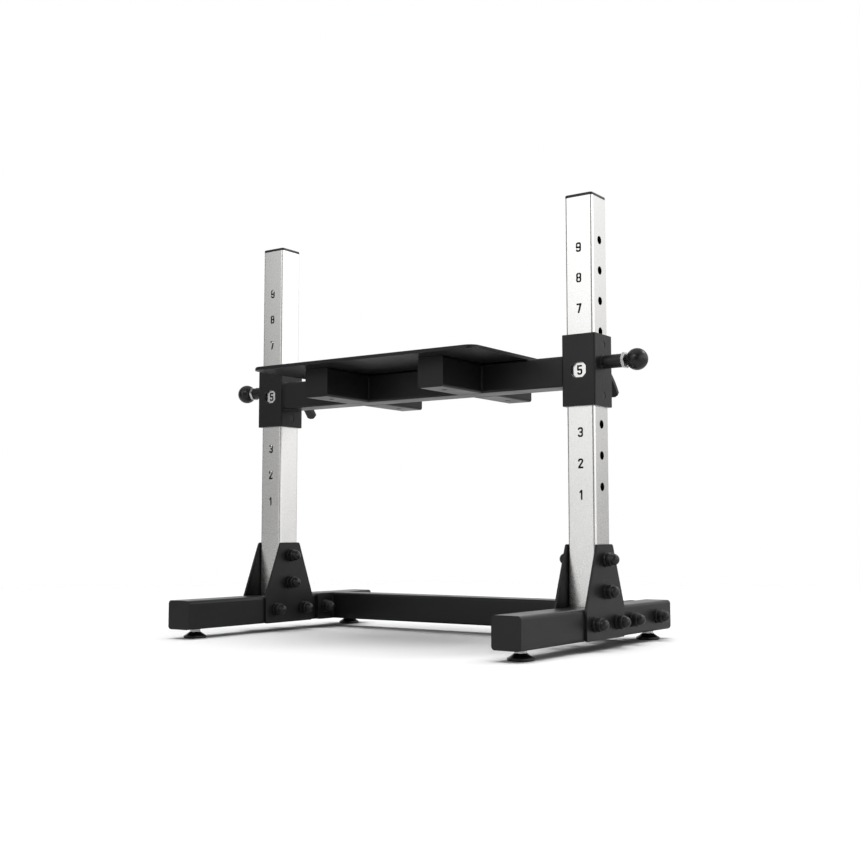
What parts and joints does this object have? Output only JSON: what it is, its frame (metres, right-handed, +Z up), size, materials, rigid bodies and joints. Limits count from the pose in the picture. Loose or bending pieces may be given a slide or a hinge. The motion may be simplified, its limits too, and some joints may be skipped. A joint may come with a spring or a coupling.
{
  "type": "adjustable step-up platform",
  "caption": "Free-standing step-up platform: a step plate on a carriage that slides up indexed uprights, with sprung locking plungers and clamp levers.",
  "frame": {"origin": "on the floor, midway between the two uprights and midway along the rails", "axes": "+X to the right along the crossbeam, +Y to the back, +Z up; the numbers face -Y"},
  "size_m": [0.876, 0.51, 0.7322],
  "materials": {
    "powder_black": "black powder coat, semi-gloss, fine grain",
    "satin_plastic": "satin black plastic",
    "bright_steel": "satin bright steel, fine grain",
    "zinc_steel": "zinc plated",
    "rubber": "matt black rubber"
  },
  "bodies": {
    "base": {"rail_left": "powder_black", "rail_right": "powder_black", "rail_end_plates": "powder_black", "upright_left": "bright_steel", "upright_right": "bright_steel", "upright_caps": "satin_plastic", "gusset_left_outer": "powder_black", "gusset_left_inner": "powder_black", "gusset_right_inner": "powder_black", "gusset_right_outer": "powder_black", "rear_crossbar": "powder_black", "crossbar_flanges": "powder_black", "upright_bolts": "zinc_steel", "rail_bolts": "zinc_steel", "crossbar_bolts": "zinc_steel", "bolt_nuts": "zinc_steel", "cap_washers": "satin_plastic", "bolt_caps": "satin_plastic", "foot_lock_nuts": "zinc_steel", "foot_weld_nuts": "zinc_steel"},
    "foot_front_left": {"foot_pad_front_left": "rubber"},
    "stud_front_left": {"foot_stud_front_left": "zinc_steel"},
    "foot_front_right": {"foot_pad_front_right": "rubber"},
    "stud_front_right": {"foot_stud_front_right": "zinc_steel"},
    "foot_rear_left": {"foot_pad_rear_left": "rubber"},
    "stud_rear_left": {"foot_stud_rear_left": "zinc_steel"},
    "foot_rear_right": {"foot_pad_rear_right": "rubber"},
    "stud_rear_right": {"foot_stud_rear_right": "zinc_steel"},
    "carriage": {"sleeve_left": "powder_black", "sleeve_right": "powder_black", "upper_liners": "satin_plastic", "lower_liners": "satin_plastic", "crossbeam": "powder_black", "front_arms": "powder_black", "rear_arms": "powder_black", "arm_end_plates": "powder_black", "platform_plate": "powder_black", "platform_mat": "rubber", "plate_screws": "zinc_steel", "plunger_housings": "powder_black", "plunger_bodies": "zinc_steel", "plunger_lock_nuts": "zinc_steel", "clamp_brackets": "powder_black", "clamp_pivot_pins": "zinc_steel"},
    "plunger_left": {"plunger_pin_left": "zinc_steel", "plunger_knob_left": "satin_plastic", "plunger_spring_left": "zinc_steel"},
    "lever_left": {"clamp_lever_left": "powder_black"},
    "piston_left": {"clamp_piston_left": "zinc_steel", "clamp_pad_left": "rubber"},
    "plunger_right": {"plunger_pin_right": "zinc_steel", "plunger_knob_right": "satin_plastic", "plunger_spring_right": "zinc_steel"},
    "lever_right": {"clamp_lever_right": "powder_black"},
    "piston_right": {"clamp_piston_right": "zinc_steel", "clamp_pad_right": "rubber"}
  },
  "joints": [
    {"name": "carriage_slide", "type": "slide", "parent": "base", "child": "carriage", "axis": [0, 0, 1], "range_m": [-0.2, 0.2]},
    {"name": "foot_height_front_left", "type": "slide", "parent": "base", "child": "foot_front_left", "axis": [0, 0, -1], "range_m": [0, 0.01]},
    {"name": "stud_turn_front_left", "type": "hinge", "parent": "foot_front_left", "child": "stud_front_left", "pos_m": [-0.332, -0.215, 0.02], "axis": [0, 0, 1], "range_deg": [0, 2400]},
    {"name": "foot_height_front_right", "type": "slide", "parent": "base", "child": "foot_front_right", "axis": [0, 0, -1], "range_m": [0, 0.01]},
    {"name": "stud_turn_front_right", "type": "hinge", "parent": "foot_front_right", "child": "stud_front_right", "pos_m": [0.332, -0.215, 0.02], "axis": [0, 0, 1], "range_deg": [0, 2400]},
    {"name": "foot_height_rear_left", "type": "slide", "parent": "base", "child": "foot_rear_left", "axis": [0, 0, -1], "range_m": [0, 0.01]},
    {"name": "stud_turn_rear_left", "type": "hinge", "parent": "foot_rear_left", "child": "stud_rear_left", "pos_m": [-0.332, 0.215, 0.02], "axis": [0, 0, 1], "range_deg": [0, 2400]},
    {"name": "foot_height_rear_right", "type": "slide", "parent": "base", "child": "foot_rear_right", "axis": [0, 0, -1], "range_m": [0, 0.01]},
    {"name": "stud_turn_rear_right", "type": "hinge", "parent": "foot_rear_right", "child": "stud_rear_right", "pos_m": [0.332, 0.215, 0.02], "axis": [0, 0, 1], "range_deg": [0, 2400]},
    {"name": "plunger_pull_left", "type": "slide", "parent": "carriage", "child": "plunger_left", "axis": [-1, 0, 0], "range_m": [-0.0034, 0.008], "stiffness_N_per_m": 900, "springref_m": -0.012, "deforming": ["plunger_spring_left"]},
    {"name": "lever_turn_left", "type": "hinge", "parent": "carriage", "child": "lever_left", "pos_m": [-0.332, 0.045, 0.462], "axis": [1, 0, 0], "range_deg": [-34, 56]},
    {"name": "piston_push_left", "type": "slide", "parent": "carriage", "child": "piston_left", "axis": [0, 1, 0], "range_m": [-0.00045, 0.00074]},
    {"name": "plunger_pull_right", "type": "slide", "parent": "carriage", "child": "plunger_right", "axis": [1, 0, 0], "range_m": [-0.0034, 0.008], "stiffness_N_per_m": 900, "springref_m": -0.012, "deforming": ["plunger_spring_right"]},
    {"name": "lever_turn_right", "type": "hinge", "parent": "carriage", "child": "lever_right", "pos_m": [0.332, 0.045, 0.462], "axis": [1, 0, 0], "range_deg": [-34, 56]},
    {"name": "piston_push_right", "type": "slide", "parent": "carriage", "child": "piston_right", "axis": [0, 1, 0], "range_m": [-0.00045, 0.00074]}
  ],
  "couplings": [
    {"joint": "stud_turn_front_left", "follows": "foot_height_front_left", "rad_per_m": 4188.8},
    {"joint": "stud_turn_front_right", "follows": "foot_height_front_right", "rad_per_m": 4188.8},
    {"joint": "stud_turn_rear_left", "follows": "foot_height_rear_left", "rad_per_m": 4188.8},
    {"joint": "stud_turn_rear_right", "follows": "foot_height_rear_right", "rad_per_m": 4188.8},
    {"joint": "lever_turn_left", "follows": "piston_push_left", "rad_per_m": 1315.8},
    {"joint": "lever_turn_right", "follows": "piston_push_right", "rad_per_m": 1315.8}
  ]
}
